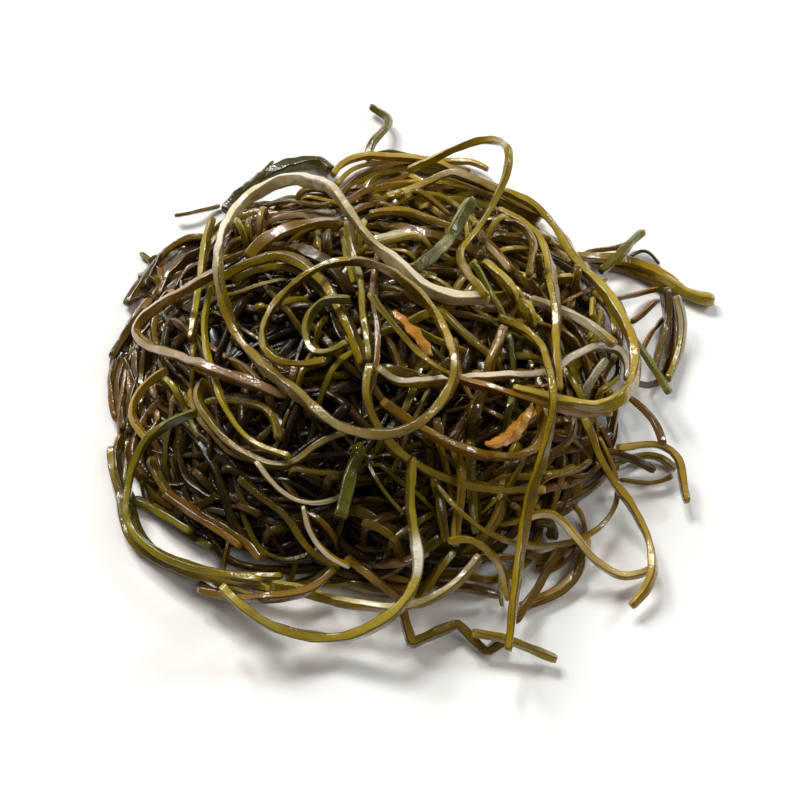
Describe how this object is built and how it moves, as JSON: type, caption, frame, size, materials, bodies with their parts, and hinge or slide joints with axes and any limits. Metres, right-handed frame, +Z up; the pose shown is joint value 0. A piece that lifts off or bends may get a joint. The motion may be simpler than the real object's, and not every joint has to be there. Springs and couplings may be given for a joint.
{
  "type": "shredded kelp heap",
  "caption": "Low heap of long, narrow soaked kelp shreds in olive, brown and cream, looped over each other, lying on a flat base.",
  "frame": {"origin": "on the flat surface that the heap lies on, under the middle of the heap", "axes": "+Z up out of the heap, +Y away from the viewer of the picture, +X to the viewer's right"},
  "size_m": [0.189, 0.1999, 0.0474],
  "materials": {
    "dark": "wet and glossy, nearly black olive",
    "brown": "wet and glossy brown",
    "olive": "wet and glossy olive brown",
    "yellow_olive": "wet and glossy yellow olive",
    "green": "wet and glossy dull green",
    "pale": "wet pale cut faces, cream",
    "amber": "wet and glossy amber brown",
    "red_brown": "wet and glossy red brown",
    "peach": "wet pale peach"
  },
  "bodies": {
    "root": {"tangle": "dark", "back_left_dark": "dark", "left_stub": "dark", "left_frill": "brown", "left_upright": "olive", "bottom_zigzag": "brown", "bottom_tip": "olive", "bottom_pale_loop": "olive", "left_outer_edge": "olive", "lower_left_edge": "brown", "right_hub": "yellow_olive", "right_dark_drop": "dark", "right_speckled": "olive", "right_spoke": "brown", "right_tip": "green", "right_stray": "green", "right_low_loop": "olive", "right_low_tail": "brown", "bottom_right_hook": "brown", "bottom_right_inner": "brown", "top_stray": "green", "back_bundle_upper": "yellow_olive", "back_bundle_lower": "amber", "amber_wide": "amber", "olive_wide": "olive", "golden_short": "amber", "green_wide": "green", "centre_upright": "olive", "centre_upright_thin": "brown", "dull_green_loop": "green", "lower_arc_outer": "green", "left_inner_loop": "amber", "tan_band": "yellow_olive", "pale_green_arc": "pale", "short_green_end": "green", "lower_upright": "yellow_olive", "pale_cut": "pale", "small_arc": "yellow_olive", "thin_right_arc": "olive", "lower_right_loop": "yellow_olive", "right_long": "yellow_olive", "tan_fold": "amber", "left_red": "red_brown", "lower_left_inner": "green", "lower_arc_inner": "amber", "bottom_loop": "olive", "pale_arch": "pale", "right_bright_band": "yellow_olive", "left_yellow_run": "yellow_olive", "red_diagonal": "red_brown", "right_inner_arc": "olive", "right_outer_arc": "yellow_olive", "long_upright": "olive", "left_fold": "pale", "crinkled_orange": "peach", "peach_scrap": "peach", "great_hoop": "olive", "air_loop": "yellow_olive"}
  },
  "joints": []
}
